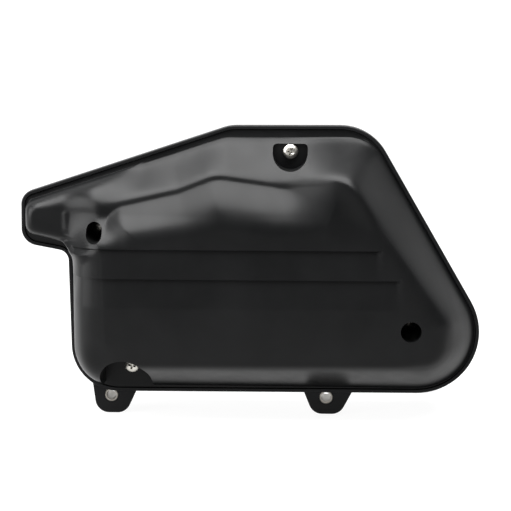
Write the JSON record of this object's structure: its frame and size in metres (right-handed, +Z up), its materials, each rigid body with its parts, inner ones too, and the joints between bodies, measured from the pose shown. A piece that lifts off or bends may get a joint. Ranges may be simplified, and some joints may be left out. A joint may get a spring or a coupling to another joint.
{
  "type": "air filter housing",
  "caption": "Two-shell moulded airbox with a domed cover, foam panel element, rubber outlet boot, intake snorkel and two lower mounting ears with steel sleeves.",
  "frame": {"origin": "centre of the front mounting ear's sleeve bore, on the joint face between the cover and the case", "axes": "+X towards the rear of the box (its long way), +Z up, -Y out of the cover; the joint face is Y = 0"},
  "size_m": [0.291, 0.1172, 0.1862],
  "materials": {
    "cover_plastic": "black moulded polypropylene, semi-matt",
    "case_plastic": "black moulded polypropylene, semi-matt",
    "inner_plastic": "black moulded plastic, matt",
    "foam": "oiled open-cell foam",
    "rubber": "black moulded rubber",
    "plated_steel": "bright zinc plate",
    "sleeve_steel": "plain turned steel"
  },
  "bodies": {
    "case": {"case": "case_plastic", "perimeter_seal": "rubber", "foam_carrier": "inner_plastic", "carrier_screws": "plated_steel", "front_ear_sleeve": "sleeve_steel", "rear_ear_sleeve": "sleeve_steel", "outlet_boot": "rubber", "boot_clamp_band": "plated_steel", "boot_clamp_screw": "plated_steel", "boot_clamp_nut": "plated_steel", "intake_snorkel": "inner_plastic", "snorkel_screws": "plated_steel"},
    "cover": {"cover": "cover_plastic"},
    "element": {"filter_foam": "foam", "foam_retainer": "inner_plastic"},
    "top_screw": {"cover_screw_top": "plated_steel"},
    "front_screw": {"cover_screw_front": "plated_steel"},
    "rear_screw": {"cover_screw_rear": "plated_steel"},
    "lower_screw": {"cover_screw_lower": "plated_steel"},
    "drain_plug": {"drain_plug": "rubber"}
  },
  "joints": [
    {"name": "cover_lift", "type": "slide", "parent": "case", "child": "cover", "axis": [0, -1, 0], "range_m": [0, 0.1]},
    {"name": "element_pull", "type": "slide", "parent": "case", "child": "element", "axis": [0, -1, 0], "range_m": [0, 0.05]},
    {"name": "top_screw_back_out", "type": "slide", "parent": "cover", "child": "top_screw", "axis": [0, -1, 0], "range_m": [0, 0.015]},
    {"name": "front_screw_back_out", "type": "slide", "parent": "cover", "child": "front_screw", "axis": [0, -1, 0], "range_m": [0, 0.015]},
    {"name": "rear_screw_back_out", "type": "slide", "parent": "cover", "child": "rear_screw", "axis": [0, -1, 0], "range_m": [0, 0.015]},
    {"name": "lower_screw_back_out", "type": "slide", "parent": "cover", "child": "lower_screw", "axis": [0, -1, 0], "range_m": [0, 0.015]},
    {"name": "drain_plug_pull", "type": "slide", "parent": "case", "child": "drain_plug", "axis": [0, 1, 0], "range_m": [0, 0.012]}
  ],
  "couplings": [
    {"joint": "element_pull", "follows": "cover_lift", "ratio": 0.5}
  ]
}
